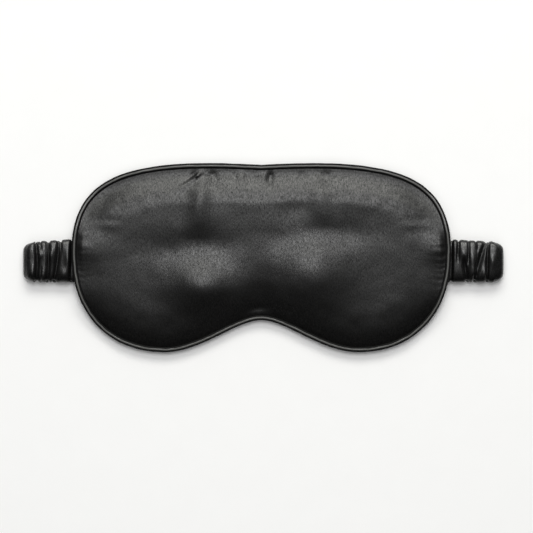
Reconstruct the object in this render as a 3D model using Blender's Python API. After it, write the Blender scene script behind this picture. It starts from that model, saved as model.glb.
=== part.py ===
import math

import bmesh
import bpy
from mathutils import Vector

MM = 0.001

# Sleep eye mask lying face up on a table: +X to the right, +Y to the forehead edge, +Z off its front.

# Overall
maskWidth = 210.6 * MM  # across the piping at the temples
maskHeight = 105.2 * MM  # forehead edge to the lowest points of the two lobes
restThickness = 13.6 * MM  # table to the top of the pillow
stations = 60  # points round the outline, spaced evenly

# Half outline as cubic curves, in halves of the mask's width and height, from the forehead
# centre round to the nose notch
outlineCurves = (
    ((0.0, 0.987), (0.72, 1.072), (1.0, 0.875), (1.0, 0.06)),
    ((1.0, 0.06), (1.0, -0.62), (0.80, -1.0), (0.51, -1.0)),
    ((0.51, -1.0), (0.32, -1.0), (0.13, -0.66), (0.0, -0.66)),
)

# Piping
pipingDiameter = 3.0 * MM
pipingWall = 0.4 * MM
cordClearance = 0.3 * MM
pipingHeight = 4.2 * MM  # middle of the piping above the table, away from the strap
flangeWidth = 6.0 * MM  # from the middle of the piping inwards
flangeThickness = 0.8 * MM
flangeSlit = 0.3 * MM  # between the two layers of the folded cover

# Fabric layers
fabricThickness = 0.8 * MM
liningThickness = 0.5 * MM
layerGap = 0.3 * MM
threadDiameter = 0.4 * MM
threadGap = 0.2 * MM
seamBand = 3.0 * MM  # flat band of the panels beside the piping

# Strap: a ruched tube of fabric over flat elastic, folded in behind the mask
strapWidth = 22.0 * MM
strapThickness = 3.4 * MM
strapHeight = -1.6 * MM  # middle of the strap below the middle of the mask
strapTubeWidth = 17.0 * MM
strapTubeThickness = 1.6 * MM
elasticClearance = 0.3 * MM
strapEndThickness = 1.4 * MM  # where it is pressed flat in the side seam
strapEndDepth = 8.0 * MM  # from the outline in to the end of the strap
sideRun = 24.0 * MM  # from the side seam out to the fold
foldGap = 0.6 * MM  # between the two runs of the folded strap
rearLinks = 4
jointClearance = 0.3 * MM
middleGap = 1.2 * MM  # each half of the strap stops this far from the middle

# Derived places
pipingRadius = pipingDiameter / 2
seamInset = pipingDiameter + threadDiameter + 2 * threadGap
rearPivotHeight = strapThickness / 2
sidePivotHeight = rearPivotHeight + strapThickness + foldGap
seamPivotX = maskWidth / 2 + strapThickness / 2 + jointClearance + 0.2 * MM
foldPivotX = seamPivotX + sideRun
rearRun = foldPivotX / rearLinks
sideRise = (
    sidePivotHeight + strapEndThickness / 2 + layerGap + pipingRadius - pipingHeight
)
backRise = strapThickness + 2 * layerGap - (pipingHeight - pipingRadius) + 0.2 * MM
channelHeight = strapThickness + 0.8 * MM
channelHalf = strapWidth / 2 + 4.0 * MM
channelFade = 13.0 * MM
riseFade = 26.0 * MM


def smooth(t):
    t = min(max(t, 0.0), 1.0)
    return t * t * (3.0 - 2.0 * t)


def nearStrap(y, half, fade):
    """1 across the strap, falling to 0 over the fade."""
    return 1.0 - smooth((abs(y - strapHeight) - half) / fade)


def bezier(curve, t):
    a, b, c, d = (Vector(p) for p in curve)
    u = 1.0 - t
    return a * u**3 + b * 3 * u * u * t + c * 3 * u * t * t + d * t**3


def outline():
    """Points round the mask, counter-clockwise from above, with their inward normals."""
    half = [bezier(c, i / 60) for c in outlineCurves for i in range(60)]
    half.append(Vector(outlineCurves[-1][3]))
    dense = [Vector((-p.x, p.y)) for p in half] + [p for p in reversed(half)][1:-1]
    low, high = min(p.y for p in dense), max(p.y for p in dense)
    scale = maskHeight / (high - low)
    dense = [
        Vector((p.x * maskWidth / 2, (p.y - (low + high) / 2) * scale)) for p in dense
    ]
    count = len(dense)
    lengths = [0.0]
    for i in range(count):
        lengths.append(lengths[-1] + (dense[(i + 1) % count] - dense[i]).length)
    points, j = [], 0
    for i in range(stations):
        want = lengths[-1] * i / stations
        while lengths[j + 1] < want:
            j += 1
        t = (want - lengths[j]) / (lengths[j + 1] - lengths[j])
        points.append(dense[j].lerp(dense[(j + 1) % count], t))
    normals = []
    for i in range(stations):
        along = (points[(i + 1) % stations] - points[i - 1]).normalized()
        normals.append(Vector((-along.y, along.x)))
    return points, normals


points, normals = outline()
centres = [Vector((0.55 * p.x, 0.09 * maskHeight * (1 - (p.x / maskWidth * 2) ** 2)))
           for p in points]  # the line that every ring of a panel closes in on


def inset(i, depth):
    return points[i] + normals[i] * depth


def pipingZ(i):
    return pipingHeight + sideRise * nearStrap(points[i].y, channelHalf, riseFade)


def backEdgeZ(i):
    rise = backRise * nearStrap(points[i].y, channelHalf, riseFade)
    return pipingHeight - pipingRadius + rise


def material(name, colour, roughness):
    made = bpy.data.materials.new(name)
    made.use_nodes = True
    shader = made.node_tree.nodes["Principled BSDF"]
    shader.inputs["Base Color"].default_value = (*colour, 1.0)
    shader.inputs["Roughness"].default_value = roughness
    shader.inputs["Metallic"].default_value = 0.0
    return made


def addObject(name, bm, mat, smoothShade=False):
    bmesh.ops.recalc_face_normals(bm, faces=bm.faces)
    mesh = bpy.data.meshes.new(name)
    bm.to_mesh(mesh)
    bm.free()
    mesh.materials.append(mat)
    if smoothShade:
        mesh.shade_smooth()
        mesh.set_sharp_from_angle(angle=math.radians(40.0))
    thing = bpy.data.objects.new(name, mesh)
    bpy.context.scene.collection.objects.link(thing)
    return thing


def addEmpty(name, place, parent=None):
    thing = bpy.data.objects.new(name, None)
    thing.location = place
    bpy.context.scene.collection.objects.link(thing)
    if parent:
        keepUnder(thing, parent)
    return thing


def keepUnder(child, parent):
    child.parent = parent
    child.location = child.location - worldPlace(parent)


def worldPlace(thing):
    place = Vector(thing.location)
    while thing.parent:
        thing = thing.parent
        place += thing.location
    return place


def bridge(bm, rows):
    """Quads between rows of points, each row closed on itself."""
    for a, b in zip(rows, rows[1:]):
        for i in range(len(a)):
            j = (i + 1) % len(a)
            bm.faces.new((a[i], a[j], b[j], b[i]))


def sweep(name, section, mat):
    """A closed section carried round the outline; section(i) gives (depth, height) pairs."""
    bm = bmesh.new()
    rows = []
    for i in range(stations):
        row = []
        for depth, height in section(i):
            p = inset(i, depth)
            row.append(bm.verts.new((p.x, p.y, height)))
        rows.append(row)
    bridge(bm, rows + rows[:1])
    return addObject(name, bm, mat, True)


def slab(name, start, steps, topZ, bottomZ, mat):
    """A sheet or pad in the outline. topZ and bottomZ give a height for a station, the share
    of the way in and the height in Y; steps are those shares from the edge to the flat middle."""
    bm = bmesh.new()
    faces = {}
    for side, height in (("top", topZ), ("bottom", bottomZ)):
        rows = []
        for depth, share in steps:
            row = []
            for i in range(stations):
                p = inset(i, start + depth).lerp(centres[i], share)
                row.append(bm.verts.new((p.x, p.y, height(i, depth, share, p.y))))
            rows.append(row)
        bridge(bm, rows)
        bm.faces.new(rows[-1])
        faces[side] = rows[0]
    bridge(bm, [faces["top"], faces["bottom"]])
    middles = [f for f in bm.faces if len(f.verts) > 4]
    bmesh.ops.triangulate(bm, faces=middles)
    return addObject(name, bm, mat, True)


shares = ((0.0, 0.0), (seamBand, 0.0), (seamBand, 0.05), (seamBand, 0.13), (seamBand, 0.27),
          (seamBand, 0.5), (seamBand, 0.78))
innerShares = shares[2:]


def crown(share):
    """How far a surface has risen from the seam to its full height."""
    return math.sqrt(1.0 - (1.0 - min(share / 0.78, 1.0)) ** 2)


def frontTop(i, depth, share, y):
    edge = pipingZ(i) + pipingRadius + (0.2 * depth)
    return edge + (restThickness - edge) * crown(share)


def backFloor(i, share, y):
    target = channelHeight * nearStrap(y, channelHalf, channelFade)
    edge = backEdgeZ(i)
    return edge + (target - edge) * smooth(share / shares[3][1])


def frontPanel(mat):
    return slab("front_panel", seamInset, shares, frontTop,
                lambda i, d, s, y: frontTop(i, d, s, y) - fabricThickness, mat)


def backPanel(mat):
    return slab("back_panel", seamInset, shares,
                lambda i, d, s, y: backFloor(i, s, y) + fabricThickness,
                lambda i, d, s, y: backFloor(i, s, y), mat)


def liningFloor(i, depth, share, y):
    return backFloor(i, share, y) + fabricThickness + layerGap


def lining(mat):
    return slab("lining", seamInset, innerShares,
                lambda i, d, s, y: liningFloor(i, d, s, y) + liningThickness,
                liningFloor, mat)


def filling(mat):
    return slab("filling", seamInset, innerShares,
                lambda i, d, s, y: frontTop(i, d, s, y) - fabricThickness - layerGap,
                lambda i, d, s, y: liningFloor(i, d, s, y) + liningThickness + layerGap, mat)


def circle(radius, count, first, last):
    return [(radius * math.cos(first + (last - first) * k / (count - 1)),
             radius * math.sin(first + (last - first) * k / (count - 1))) for k in range(count)]


def pipingCover(mat):
    """A strip folded round the cord, with its two edges together as a flange."""
    inner = pipingRadius - pipingWall
    outerOpen = math.asin(flangeThickness / 2 / pipingRadius)
    innerOpen = math.asin(flangeSlit / 2 / inner)
    full = 2 * math.pi
    ring = circle(pipingRadius, 9, outerOpen, full - outerOpen)
    core = circle(inner, 7, full - innerOpen, innerOpen)
    shape = [(flangeWidth, flangeThickness / 2)] + ring + [(flangeWidth, -flangeThickness / 2)]
    shape += [(flangeWidth, -flangeSlit / 2)] + core + [(flangeWidth, flangeSlit / 2)]
    return sweep("piping_cover", lambda i: [(pipingRadius + d, pipingZ(i) + h) for d, h in shape],
                 mat)


def pipingCord(mat):
    radius = pipingRadius - pipingWall - cordClearance
    shape = [(radius * math.cos(a), radius * math.sin(a))
             for a in (math.pi * k / 3 for k in range(6))]
    return sweep("piping_cord", lambda i: [(pipingRadius + d, pipingZ(i) + h) for d, h in shape],
                 mat)


def seamThread(mat):
    """The stitching that runs all round in the groove between the piping and the front panel."""
    radius = threadDiameter / 2
    rise = flangeThickness / 2 + threadGap + radius
    depth = pipingDiameter + threadGap + radius
    shape = [(radius * math.cos(a), radius * math.sin(a))
             for a in (math.pi * (k + 0.5) / 2 for k in range(4))]
    return sweep("seam_thread", lambda i: [(depth + d, pipingZ(i) + rise + h) for d, h in shape],
                 mat)


def box(name, low, high, mat):
    bm = bmesh.new()
    bmesh.ops.create_cube(bm, size=1.0)
    for v in bm.verts:
        v.co = [lo + (hi - lo) * (c + 0.5) for lo, hi, c in zip(low, high, v.co)]
    return addObject(name, bm, mat)


def linkProfile(length, thickness, steps=6):
    """Side view of a link along +X: a round start on its own joint and a square far end."""
    radius = thickness / 2
    profile = [(length, -radius), (length, radius)]
    for k in range(steps + 1):
        a = math.pi / 2 + math.pi * k / steps
        profile.append((radius * math.cos(a), radius * math.sin(a)))
    return profile


def extrude(name, profile, halfWidth, mat):
    """A side view in X and Z carried across Y."""
    bm = bmesh.new()
    sides = [[bm.verts.new((x, y, z)) for x, z in profile] for y in (-halfWidth, halfWidth)]
    bm.faces.new(sides[0])
    bm.faces.new(sides[1])
    bridge(bm, sides)
    return addObject(name, bm, mat, True)


def cutThrough(target, cutter):
    cutter.hide_render = True
    cutter.display_type = "WIRE"
    cutter.parent = target
    cut = target.modifiers.new("slot", "BOOLEAN")
    cut.operation = "DIFFERENCE"
    cut.solver = "EXACT"
    cut.object = cutter


def strapLink(name, length, heading, joint, mats):
    """One length of strap from its joint: the ruched fabric tube and the elastic inside it.
    heading turns it about Y from +X."""
    end = length - strapThickness / 2 - jointClearance
    casing = extrude(name, linkProfile(end, strapThickness), strapWidth / 2, mats["ruched"])
    slot = box(f"{name}_slot", (-strapThickness, -strapTubeWidth / 2, -strapTubeThickness / 2),
               (length + strapThickness, strapTubeWidth / 2, strapTubeThickness / 2),
               mats["ruched"])
    cutThrough(casing, slot)
    gap = elasticClearance
    elastic = box(f"{name}_elastic",
                  (-strapThickness / 2 + 0.7 * MM, -strapTubeWidth / 2 + gap,
                   -strapTubeThickness / 2 + gap),
                  (end - 0.2 * MM, strapTubeWidth / 2 - gap, strapTubeThickness / 2 - gap),
                  mats["elastic"])
    for thing in (casing, elastic):
        thing.rotation_euler = (0.0, heading, 0.0)
        thing.parent = joint
    return casing


def strapHalf(side, sign, mats):
    """The chain of links on one side; sign is -1 on the left and 1 on the right."""
    outward = 0.0 if sign > 0 else math.pi
    inward = math.pi - outward

    def place(x, z):
        return Vector((sign * x, strapHeight, z))

    seam = addEmpty(f"{side}_seam_joint", place(seamPivotX, sidePivotHeight))
    strapLink(f"{side}_side", sideRun, outward, seam, mats)
    upper = addEmpty(f"{side}_fold_upper_joint", place(foldPivotX, sidePivotHeight), seam)
    strapLink(f"{side}_fold", sidePivotHeight - rearPivotHeight, math.pi / 2, upper, mats)
    parent = addEmpty(f"{side}_fold_lower_joint", place(foldPivotX, rearPivotHeight), upper)
    for k in range(rearLinks):
        last = k == rearLinks - 1
        length = rearRun
        if last:
            length += strapThickness / 2 + jointClearance - middleGap
        strapLink(f"{side}_rear_{k + 1}", length, inward, parent, mats)
        if not last:
            x = foldPivotX - rearRun * (k + 1)
            parent = addEmpty(f"{side}_rear_{k + 2}_joint", place(x, rearPivotHeight), parent)


def strapEnd(side, sign, mat):
    """The flattened end of the strap, held in the side seam under the piping."""
    outer = seamPivotX - strapThickness / 2 - jointClearance
    inner = maskWidth / 2 - strapEndDepth
    low = sidePivotHeight - strapEndThickness / 2
    xs = sorted((sign * inner, sign * outer))
    box(f"{side}_strap_end",
        (xs[0], strapHeight - strapWidth / 2, low),
        (xs[1], strapHeight + strapWidth / 2, low + strapEndThickness), mat)


def main():
    for thing in list(bpy.data.objects):
        bpy.data.objects.remove(thing, do_unlink=True)
    mats = {
        "satin": material("satin", (0.012, 0.012, 0.014), 0.35),
        "piping": material("piping_satin", (0.014, 0.014, 0.016), 0.35),
        "ruched": material("ruched_satin", (0.013, 0.013, 0.015), 0.4),
        "elastic": material("elastic_web", (0.02, 0.02, 0.02), 0.8),
        "lining": material("blackout_lining", (0.01, 0.01, 0.01), 0.9),
        "filling": material("soft_filling", (0.75, 0.75, 0.73), 0.95),
        "cord": material("cotton_cord", (0.7, 0.68, 0.62), 0.9),
        "thread": material("thread", (0.012, 0.012, 0.012), 0.6),
    }
    frontPanel(mats["satin"])
    backPanel(mats["satin"])
    filling(mats["filling"])
    lining(mats["lining"])
    pipingCover(mats["piping"])
    pipingCord(mats["cord"])
    seamThread(mats["thread"])
    for side, sign in (("left", -1), ("right", 1)):
        strapEnd(side, sign, mats["ruched"])
        strapHalf(side, sign, mats)


main()
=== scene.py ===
import math
import random

import bmesh
import bpy
import numpy as np
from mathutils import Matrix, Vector, geometry, noise
from mathutils.bvhtree import BVHTree


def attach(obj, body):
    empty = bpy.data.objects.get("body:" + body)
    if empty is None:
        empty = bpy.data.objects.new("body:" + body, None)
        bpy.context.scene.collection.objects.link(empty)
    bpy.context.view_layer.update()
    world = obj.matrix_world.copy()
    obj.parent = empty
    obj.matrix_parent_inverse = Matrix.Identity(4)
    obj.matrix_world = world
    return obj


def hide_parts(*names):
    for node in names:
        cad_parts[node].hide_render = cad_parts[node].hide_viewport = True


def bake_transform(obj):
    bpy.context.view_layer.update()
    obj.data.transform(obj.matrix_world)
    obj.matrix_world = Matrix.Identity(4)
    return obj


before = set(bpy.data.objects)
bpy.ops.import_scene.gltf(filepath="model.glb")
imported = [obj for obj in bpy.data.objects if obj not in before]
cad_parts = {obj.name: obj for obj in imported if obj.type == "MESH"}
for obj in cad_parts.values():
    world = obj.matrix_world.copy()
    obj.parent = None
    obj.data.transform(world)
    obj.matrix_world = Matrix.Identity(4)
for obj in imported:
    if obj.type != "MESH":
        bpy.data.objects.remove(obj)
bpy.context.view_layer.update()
scene = bpy.context.scene
mm = 0.001
print("frame loaded")

# sizes that several pieces share, in metres
mask = {
    "width": 210.6 * mm,
    "height": 105.2 * mm,
    "pipingDiameter": 3.0 * mm,
    "pipingLevel": 4.2 * mm,  # middle of the piping above the table
    "sideRise": 4.0 * mm,  # how much it climbs over the strap
    "strapLevel": -1.6 * mm,  # middle of the strap in Y
}

# half of the outline, forehead to nose, in halves of the width and height
outlineCurves = (
    ((0.0, 0.987), (0.72, 1.072), (1.0, 0.875), (1.0, 0.06)),
    ((1.0, 0.06), (1.0, -0.62), (0.80, -1.0), (0.51, -1.0)),
    ((0.51, -1.0), (0.32, -1.0), (0.13, -0.66), (0.0, -0.66)),
)

def smooth(t):
    t = np.clip(t, 0.0, 1.0)
    return t * t * (3.0 - 2.0 * t)

def bump(x, middle, width):
    return np.exp(-(((x - middle) / width) ** 2))

def denseOutline():
    t = np.linspace(0.0, 1.0, 400, endpoint=False)[:, None]
    half = []
    for curve in outlineCurves:
        a, b, c, d = (np.array(p) for p in curve)
        u = 1.0 - t
        half.append(a * u**3 + 3 * b * u * u * t + 3 * c * u * t * t + d * t**3)
    half = np.vstack(half + [np.array([outlineCurves[-1][3]])])
    left = half * (-1.0, 1.0)
    ring = np.vstack([left, half[::-1][1:-1]])
    low, high = ring[:, 1].min(), ring[:, 1].max()
    ring[:, 1] = (ring[:, 1] - (low + high) / 2) * mask["height"] / (high - low)
    ring[:, 0] *= mask["width"] / 2
    return ring

def evenStations(count):
    # evenly spaced points round the outline, their inward normals and its length
    ring = denseOutline()
    closed = np.vstack([ring, ring[:1]])
    length = np.concatenate([[0.0], np.cumsum(np.linalg.norm(np.diff(closed, axis=0), axis=1))])
    want = np.linspace(0.0, length[-1], count, endpoint=False)
    points = np.stack([np.interp(want, length, closed[:, k]) for k in (0, 1)], axis=1)
    along = np.roll(points, -1, axis=0) - np.roll(points, 1, axis=0)
    for _ in range(2):
        along = (np.roll(along, 1, axis=0) + 2 * along + np.roll(along, -1, axis=0)) / 4
    along /= np.linalg.norm(along, axis=1)[:, None]
    normals = np.stack([-along[:, 1], along[:, 0]], axis=1)
    return points, normals, length[-1]

def nearStrap(y, half, fade):
    return 1.0 - smooth((np.abs(y - mask["strapLevel"]) - half) / fade)

def pipingLevel(x, y):
    side = smooth((np.abs(x) - 60 * mm) / (30 * mm))
    return mask["pipingLevel"] + mask["sideRise"] * nearStrap(y, 15 * mm, 26 * mm) * side

class Value:
    # a shader socket that takes part in sums
    def __init__(self, nodes, socket):
        self.nodes, self.socket = nodes, socket

    def math(self, operation, *others, swap=False):
        terms = [self, *others]
        if swap:
            terms.reverse()
        return self.nodes.add("ShaderNodeMath", {"operation": operation}, dict(enumerate(terms)))

    def __add__(self, other):
        return self.math("ADD", other)

    def __sub__(self, other):
        return self.math("SUBTRACT", other)

    def __rsub__(self, other):
        return self.math("SUBTRACT", other, swap=True)

    def __mul__(self, other):
        return self.math("MULTIPLY", other)

    __radd__ = __add__
    __rmul__ = __mul__

    def clamp(self):
        return self.math("MAXIMUM", 0.0).math("MINIMUM", 1.0)

class Nodes:
    def __init__(self, tree):
        self.tree = tree

    def add(self, kind, settings=None, inputs=None, output=0):
        node = self.tree.nodes.new(kind)
        for name, value in (settings or {}).items():
            setattr(node, name, value)
        for key, value in (inputs or {}).items():
            target = node.inputs[key]
            if isinstance(value, Value):
                self.tree.links.new(value.socket, target)
            else:
                target.default_value = value
        return Value(self, node.outputs[output])

    def link(self, value, target):
        self.tree.links.new(value.socket, target)

def newMaterial(name):
    made = bpy.data.materials.new(name)
    made.use_nodes = True
    return made, Nodes(made.node_tree), made.node_tree.nodes["Principled BSDF"]

def grey(level, tint=(1.0, 1.0, 1.0)):
    return (level * tint[0], level * tint[1], level * tint[2], 1.0)

def placeIn(nodes, space):
    return nodes.add("ShaderNodeTexCoord", output={"Generated": 0, "UV": 2, "Object": 3}[space])

def axisOf(nodes, place, k):
    return nodes.add("ShaderNodeSeparateXYZ", {}, {"Vector": place}, output=k)

def mixColours(nodes, factor, dark, light):
    return nodes.add("ShaderNodeMix", {"data_type": "RGBA"},
                     {0: factor, 6: dark, 7: light}, output=2)

def dress(nodes, shader, colour, roughness, height, depth):
    relief = nodes.add("ShaderNodeBump", {}, {"Height": height, "Distance": depth})
    for name, value in (("Base Color", colour), ("Roughness", roughness), ("Normal", relief)):
        nodes.link(value, shader.inputs[name])

def noiseAt(nodes, place, scale, detail, roughness=0.5, stretch=(1.0, 1.0, 1.0)):
    # scale is in cells to the metre
    stretched = nodes.add("ShaderNodeMapping", {},
                          {"Vector": place, "Scale": tuple(scale * s for s in stretch)})
    return nodes.add("ShaderNodeTexNoise", {}, {"Vector": stretched, "Scale": 1.0,
                                                "Detail": detail, "Roughness": roughness})

satinLook = {
    "dark": 0.0006,
    "light": 0.0060,
    "roughness": 0.40,
    "roughnessSpread": 0.25,
    "slubDepth": 0.11 * mm,
    "weaveDepth": 0.02 * mm,
    "slubScale": 1500,  # cells to the metre
    "weaveScale": 3000,
    "patchScale": 45,
    "patchSpread": 0.10,
    "contrast": 2.7,
    "darkTint": (0.96, 1.0, 1.10),
    "lightTint": (1.02, 1.0, 0.97),
    "ior": 1.36,
    "sheen": 0.85,  # how much the raised threads shine over the others
    "sheenRoughness": 0.37,
    "sheenIor": 1.52,
}

def satin(name, space, stretch, look):
    # black satin: fine threads one way, unevenly slubbed
    made, nodes, shader = newMaterial(name)
    place = placeIn(nodes, space)
    slub = noiseAt(nodes, place, look["slubScale"], 3.0, 0.66, stretch)
    fine = noiseAt(nodes, place, look["weaveScale"], 1.0, 0.5, stretch)
    patch = noiseAt(nodes, place, look["patchScale"], 2.0)
    thread = ((slub * 0.7 + fine * 0.3 - 0.5) * look["contrast"] + 0.5).clamp()
    colour = mixColours(nodes, thread, grey(look["dark"], look["darkTint"]),
                        grey(look["light"], look["lightTint"]))
    rough = (look["roughness"] + (0.5 - thread) * look["roughnessSpread"]
             + (patch - 0.5) * look["patchSpread"])
    dress(nodes, shader, colour, rough, slub * look["slubDepth"] + fine * look["weaveDepth"], 1.0)
    nodes.link(thread * look["sheen"], shader.inputs["Coat Weight"])
    shader.inputs["Coat Roughness"].default_value = look["sheenRoughness"]
    shader.inputs["Coat IOR"].default_value = look["sheenIor"]
    shader.inputs["IOR"].default_value = look["ior"]
    return made

pipingLook = {
    "flank": 0.0015,
    # colour of the painted highlight along the piping's crest
    "paintedCrestHighlight": 0.105,
    "flankRoughness": 0.85,
    "crestRoughness": 0.2,
    "crestWidth": 0.55 * mm,
    "wander": 0.8 * mm,  # how far the crest and its painted highlight stray round the piping
    "wanderScale": 160,
    "threadScale": 2400,
    "threadDepth": 0.02 * mm,
    # strength of the painted highlight: an even part and a part that follows the threads
    "evenPaintedHighlight": 0.55,
    "threadPaintedHighlight": 0.9,
    "ior": 1.38,
}

def pipingSatin(name, look):
    # satin tight over the cord: glossier along its crest, with a painted highlight in its colour
    # there, dull in the folds beside it
    made, nodes, shader = newMaterial(name)
    place = placeIn(nodes, "UV")
    threads = noiseAt(nodes, place, look["threadScale"], 2.0, 0.6, (1.0, 0.35, 1.0))
    wander = noiseAt(nodes, place, look["wanderScale"], 2.0, 0.5, (1.0, 0.2, 1.0))
    off = (axisOf(nodes, place, 1) + (wander - 0.5) * look["wander"]) * (1.0 / look["crestWidth"])
    paintedCrestHighlight = (1.0 - off * off).clamp()
    # painted highlight: the base colour is lightened along the crest, more on the raised threads
    sheen = (paintedCrestHighlight * (look["evenPaintedHighlight"] + threads * look["threadPaintedHighlight"])).clamp()
    colour = mixColours(nodes, sheen, grey(look["flank"]), grey(look["paintedCrestHighlight"], (1.0, 1.0, 0.96)))
    drop = look["flankRoughness"] - look["crestRoughness"]
    dress(nodes, shader, colour, look["flankRoughness"] - paintedCrestHighlight * drop, threads,
          look["threadDepth"])
    shader.inputs["IOR"].default_value = look["ior"]
    return made

def matteCloth(name, dark, light, scale, depth, tint=(1.0, 1.0, 1.0)):
    made, nodes, shader = newMaterial(name)
    fibre = noiseAt(nodes, placeIn(nodes, "Object"), scale, 5.0, 0.7)
    colour = mixColours(nodes, fibre, grey(dark, tint), grey(light, tint))
    dress(nodes, shader, colour, 1.0 - fibre * 0.2, fibre, depth)
    return made

elasticLook = {
    "ribPitch": 0.9 * mm,
    "pickPitch": 0.7 * mm,
    "ribShare": 0.6,
    "dark": 0.006,
    "light": 0.03,
    "roughness": 0.85,
    "roughnessSpread": 0.2,
    "depth": 0.12 * mm,
}

def elasticWeb(name, look):
    made, nodes, shader = newMaterial(name)
    place = placeIn(nodes, "Object")
    x, y, z = (axisOf(nodes, place, k) for k in range(3))
    ribs = (y * (2 * math.pi / look["ribPitch"])).math("SINE") * 0.5 + 0.5
    picks = ((x + z) * (2 * math.pi / look["pickPitch"])).math("SINE") * 0.5 + 0.5
    web = ribs * look["ribShare"] + picks * (1.0 - look["ribShare"])
    colour = mixColours(nodes, web, grey(look["dark"]), grey(look["light"]))
    dress(nodes, shader, colour, look["roughness"] - web * look["roughnessSpread"], web,
          look["depth"])
    return made

yarnLook = {
    "fuzzScale": 2500,
    "fuzzShare": 0.3,
    "roughnessSpread": 0.15,
    "depth": 0.08 * mm,
    "lay": 1.1 * mm,  # length of one turn of the plies
}

def twistedYarn(name, dark, light, tint, roughness, look):
    made, nodes, shader = newMaterial(name)
    place = placeIn(nodes, "UV")
    along, around = (axisOf(nodes, place, k) for k in (0, 1))
    ply = ((along * (1.0 / look["lay"]) + around) * (2 * math.pi)).math("SINE") * 0.5 + 0.5
    fuzz = noiseAt(nodes, placeIn(nodes, "Object"), look["fuzzScale"], 3.0)
    mixed = ply * (1.0 - look["fuzzShare"]) + fuzz * look["fuzzShare"]
    colour = mixColours(nodes, mixed, grey(dark, tint), grey(light, tint))
    dress(nodes, shader, colour, roughness - mixed * look["roughnessSpread"], mixed, look["depth"])
    return made

materials = {
    "panel": satin("panelSatin", "Object", (1.0, 0.42, 0.4), satinLook),
    "piping": pipingSatin("pipingSatin", pipingLook),
    "ruched": satin("ruchedSatin", "UV", (1.0, 0.5, 1.0),
                    {**satinLook, "roughness": 0.38, "slubDepth": 0.04 * mm, "light": 0.003,
                     "roughnessSpread": 0.12, "sheenRoughness": 0.33, "sheenIor": 1.72}),
    "elastic": elasticWeb("elasticWeb", elasticLook),
    "lining": matteCloth("blackoutLining", 0.004, 0.012, 900, 0.1 * mm),
    "filling": matteCloth("softFilling", 0.55, 0.85, 260, 0.5 * mm, (1.0, 1.0, 0.97)),
    "cord": twistedYarn("cottonCord", 0.42, 0.7, (1.0, 0.96, 0.88), 0.9, yarnLook),
    "thread": twistedYarn("blackThread", 0.004, 0.02, (1.0, 1.0, 1.05), 0.6, yarnLook),
}
print("materials made")

def inScene(name, data):
    thing = bpy.data.objects.new(name, data)
    scene.collection.objects.link(thing)
    return thing

def meshObject(name, vertices, faces, material, uvs=None, perCorner=False):
    mesh = bpy.data.meshes.new(name)
    mesh.from_pydata([tuple(v) for v in vertices], [], faces)
    if uvs is not None:
        layer = mesh.uv_layers.new(name="UVMap")
        corners = np.asarray(uvs, dtype=np.float32)
        if not perCorner:
            loops = np.zeros(len(mesh.loops), dtype=np.int32)
            mesh.loops.foreach_get("vertex_index", loops)
            corners = corners[loops]
        layer.data.foreach_set("uv", corners.ravel())
    mesh.validate()
    mesh.shade_smooth()
    mesh.materials.append(material)
    return inScene(name, mesh)

def turnFaces(thing, up=None):
    # outward, or with up given: up on an open front sheet, down on a back one
    work = bmesh.new()
    work.from_mesh(thing.data)
    if up is None:
        bmesh.ops.recalc_face_normals(work, faces=work.faces)
    else:
        wrong = [f for f in work.faces if (f.normal.z > 0) != up]
        bmesh.ops.reverse_faces(work, faces=wrong)
    work.to_mesh(thing.data)
    work.free()
    return thing

def applied(thing):
    graph = bpy.context.evaluated_depsgraph_get()
    done = bpy.data.meshes.new_from_object(thing.evaluated_get(graph), depsgraph=graph)
    thing.modifiers.clear()
    old = thing.data
    thing.data = done
    bpy.data.meshes.remove(old)
    done.name = thing.name

pad = {
    "fineSpacing": 1.15 * mm,
    "clothSpacing": 3.0 * mm,
    "ringLength": 560 * mm,  # length that a ring's points are counted for
    "ringDepth": 8.4 * mm,  # rings beside the seam, and an even grid inside them
    "rowStep": 0.866,  # between the grid's rows, in spacings
    "seamEdge": 3.1 * mm,  # where the panels go in beside the piping
    "frontSeam": 0.75 * mm,  # the front's edge, over the middle of the piping
    "backSeam": 3.1 * mm,  # the back's edge, over the table
    "backRise": 1.2 * mm,  # and how much it climbs over the strap
    "sideBand": 0.4 * mm,  # flat strip between the piping and the padding
    "topBand": 2.8 * mm,  # the same strip along the forehead
    "crown": 9.5 * mm,  # top of the padding before its lobes
    "cheekRim": 11.0 * mm,  # width of the rolled rim along the cheeks
    "browRim": 10.5 * mm,  # and of the gentler one along the forehead and sides
    "browShare": 0.90,  # part of the rise taken by the rim above, and below
    "cheekShare": 0.80,
    "thickness": 0.35 * mm,
    "sharpAngle": 50,  # edges that turn further stay sharp, in degrees
    "channel": 4.4 * mm,  # height of the back over the strap
    "bulge": 2.5 * mm,  # how far the back would hang below the table
    "settle": 0.5 * mm,  # how softly it settles on the table
    "clearance": 0.03 * mm,
    "lowest": 0.05 * mm,
    "pinned": 0.4 * mm,  # width of padding that is held, past the flat strip
    "pressure": 3.0,
    "frames": 20,
    "start": 0.98,  # part of the crown's rise that the fabric starts with
    "frontCap": 0.55 * mm,  # the furthest that the pressure moves it
    "backCap": 0.35 * mm,
}

def insidePolygon(points, polygon):
    inside = np.zeros(len(points), dtype=bool)
    ahead = np.roll(polygon, -1, axis=0)
    for (xa, ya), (xb, yb) in zip(polygon, ahead):
        crosses = (ya > points[:, 1]) != (yb > points[:, 1])
        with np.errstate(divide="ignore", invalid="ignore"):
            at = (xb - xa) * (points[:, 1] - ya) / (yb - ya) + xa
        inside ^= crosses & (points[:, 0] < at)
    return inside

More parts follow.
